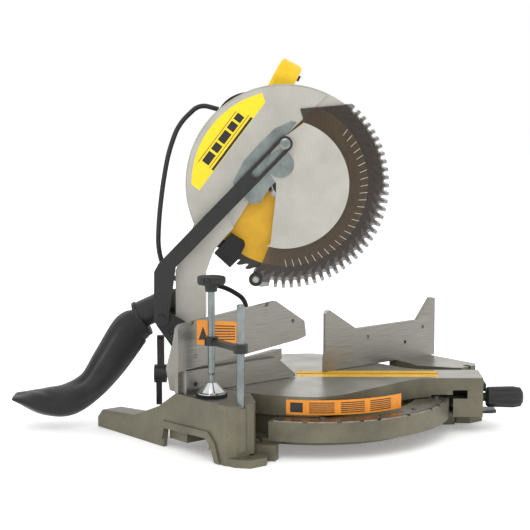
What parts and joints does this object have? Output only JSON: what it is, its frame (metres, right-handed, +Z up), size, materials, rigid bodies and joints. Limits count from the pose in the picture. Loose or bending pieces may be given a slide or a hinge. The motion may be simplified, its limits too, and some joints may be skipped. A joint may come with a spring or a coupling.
{
  "type": "compound miter saw",
  "caption": "Corded compound miter saw with a tilting, spring-raised head, round turntable, tall fences, swinging blade guard, work clamp and cloth dust bag.",
  "frame": {"origin": "miter axis on the bench plane, in the middle of the four bench bolt holes", "axes": "+X to the saw's right, -Y to its front where the operator stands, +Z up"},
  "size_m": [0.6824, 0.5761, 0.6026],
  "materials": {
    "base_paint": "satin metallic paint",
    "guard_paint": "fine metallic paint",
    "fence_aluminium": "milled",
    "cast_aluminium": "as cast",
    "scale_steel": "brushed",
    "steel": "turned",
    "black_steel": "satin black",
    "zinc_steel": "zinc plated",
    "chrome": "polished",
    "blade": "yellow coated",
    "yellow_plastic": "satin",
    "black_plastic": "textured",
    "smoky_plastic": "see-through",
    "rubber": "matt",
    "cord_rubber": "matt",
    "fabric": "woven"
  },
  "bodies": {
    "base": {"base_casting": "base_paint", "miter_scale": "scale_steel", "scale_screws": "steel", "left_base_fence": "fence_aluminium", "right_fence": "fence_aluminium", "miter_pivot_bolt": "steel", "cord_gland": "cord_rubber", "mains_cord": "cord_rubber", "cord_coil": "cord_rubber", "mains_plug": "cord_rubber", "clamp_pole": "zinc_steel"},
    "upper_fence": {"left_upper_fence": "fence_aluminium"},
    "clamp_arm": {"clamp_arm": "black_steel"},
    "clamp_foot": {"clamp_foot": "chrome", "clamp_pad": "rubber"},
    "clamp_screw": {"clamp_screw": "zinc_steel", "clamp_knob": "black_plastic"},
    "table": {"turntable": "base_paint", "kerf_plates": "yellow_plastic", "tilt_bolt": "steel"},
    "lock_knob": {"lock_knob": "black_plastic"},
    "detent_lever": {"detent_lever": "black_steel"},
    "override_latch": {"override_latch": "black_plastic"},
    "tilt_lever": {"tilt_lever": "black_plastic"},
    "bevel_arm": {"bevel_arm": "guard_paint", "link_anchor": "black_plastic", "chop_pin": "steel"},
    "lock_down_pin": {"lock_down_pin": "black_plastic"},
    "guard_link": {"guard_link": "black_steel", "link_bolt": "zinc_steel"},
    "head": {"upper_guard": "guard_paint", "belt_case": "cast_aluminium", "belt_cover": "black_plastic", "motor_housing": "black_plastic", "motor_end_cap": "black_plastic", "stator": "steel", "bearings": "steel", "brush_caps": "black_plastic", "drive_belt": "rubber", "guard_bracket": "zinc_steel", "guard_screws": "zinc_steel", "chute_flap": "rubber", "dust_spout": "black_plastic", "dust_bag": "fabric", "handle_front": "yellow_plastic", "handle_back": "black_plastic", "motor_lead": "cord_rubber"},
    "spindle": {"spindle": "steel", "saw_blade": "blade", "blade_flanges": "steel", "blade_screw": "black_steel", "spindle_pulley": "cast_aluminium"},
    "armature": {"armature": "steel"},
    "trigger": {"trigger": "black_plastic"},
    "lock_off_button": {"lock_off_button": "black_plastic"},
    "spindle_lock": {"spindle_lock": "black_plastic"},
    "lower_guard": {"lower_guard": "smoky_plastic", "guard_hub_plate": "guard_paint", "roller_pin": "steel"},
    "guard_roller": {"guard_roller": "black_plastic"}
  },
  "joints": [
    {"name": "fence_slide", "type": "slide", "parent": "base", "child": "upper_fence", "axis": [-0.9949, 0, -0.1011], "range_m": [0, 0.1]},
    {"name": "clamp_height", "type": "slide", "parent": "base", "child": "clamp_arm", "axis": [0, 0, 1], "range_m": [0, 0.02]},
    {"name": "clamp_foot_lift", "type": "slide", "parent": "clamp_arm", "child": "clamp_foot", "axis": [0, 0, 1], "range_m": [0, 0.03]},
    {"name": "clamp_screw_turn", "type": "hinge", "parent": "clamp_foot", "child": "clamp_screw", "pos_m": [-0.236, -0.03, 0.09], "axis": [0, 0, 1], "range_deg": [0, 3600]},
    {"name": "miter", "type": "hinge", "parent": "base", "child": "table", "pos_m": [0, 0, 0.09], "axis": [0, 0, 1], "range_deg": [-100, 0]},
    {"name": "lock_knob_turn", "type": "hinge", "parent": "table", "child": "lock_knob", "pos_m": [0.21488, -0.1803, 0.052], "axis": [0.766, -0.6428, 0], "range_deg": [0, 180]},
    {"name": "detent_release", "type": "slide", "parent": "table", "child": "detent_lever", "axis": [0.766, -0.6428, 0], "range_m": [0, 0.006], "stiffness_N_per_m": 800, "springref_m": -0.004},
    {"name": "override_press", "type": "slide", "parent": "table", "child": "override_latch", "axis": [0, 0, -1], "range_m": [0, 0.003], "stiffness_N_per_m": 500, "springref_m": -0.002},
    {"name": "tilt_lever_turn", "type": "hinge", "parent": "table", "child": "tilt_lever", "pos_m": [-0.19381, 0.16262, 0.09], "axis": [0.766, -0.6428, 0], "range_deg": [0, 50]},
    {"name": "bevel", "type": "hinge", "parent": "table", "child": "bevel_arm", "pos_m": [-0.15091, 0.12663, 0.09], "axis": [0.766, -0.6428, 0], "range_deg": [-3, 22.5]},
    {"name": "lock_down_pull", "type": "slide", "parent": "bevel_arm", "child": "lock_down_pin", "axis": [0.6428, 0.766, 0], "range_m": [0, 0.01]},
    {"name": "link_swing", "type": "hinge", "parent": "bevel_arm", "child": "guard_link", "pos_m": [-0.21183, 0.13337, 0.187], "axis": [0.6428, 0.766, 0], "range_deg": [0, 40]},
    {"name": "chop", "type": "hinge", "parent": "bevel_arm", "child": "head", "pos_m": [-0.15321, 0.12856, 0.158], "axis": [0.6428, 0.766, 0], "range_deg": [0, 44], "stiffness_Nm_per_rad": 20, "springref_deg": -68.75},
    {"name": "blade_spin", "type": "hinge", "parent": "head", "child": "spindle", "pos_m": [-0.0383, 0.03214, 0.402], "axis": [0.6428, 0.766, 0], "continuous": true},
    {"name": "motor_spin", "type": "hinge", "parent": "head", "child": "armature", "pos_m": [-0.02152, 0.1486, 0.495], "axis": [0.6428, 0.766, 0], "continuous": true},
    {"name": "trigger_pull", "type": "slide", "parent": "head", "child": "trigger", "axis": [0.3596, -0.3018, 0.883], "range_m": [0, 0.006], "stiffness_N_per_m": 700, "springref_m": -0.003},
    {"name": "lock_off_press", "type": "slide", "parent": "head", "child": "lock_off_button", "axis": [-0.6764, 0.5675, 0.4695], "range_m": [0, 0.003], "stiffness_N_per_m": 500, "springref_m": -0.002},
    {"name": "spindle_lock_press", "type": "slide", "parent": "head", "child": "spindle_lock", "axis": [-0.6428, -0.766, 0], "range_m": [0, 0.003], "stiffness_N_per_m": 500, "springref_m": -0.002},
    {"name": "guard_open", "type": "hinge", "parent": "head", "child": "lower_guard", "pos_m": [-0.05973, 0.01749, 0.4345], "axis": [-0.6428, -0.766, 0], "range_deg": [0, 100]},
    {"name": "roller_spin", "type": "hinge", "parent": "lower_guard", "child": "guard_roller", "pos_m": [-0.09138, 0.04143, 0.24947], "axis": [0.6428, 0.766, 0], "continuous": true}
  ],
  "couplings": [
    {"joint": "clamp_foot_lift", "follows": "clamp_screw_turn", "m_per_rad": 0.000477},
    {"joint": "motor_spin", "follows": "blade_spin", "ratio": 2.4286},
    {"joint": "guard_open", "follows": "chop", "ratio": 2.2},
    {"joint": "link_swing", "follows": "chop", "ratio": 0.85}
  ]
}
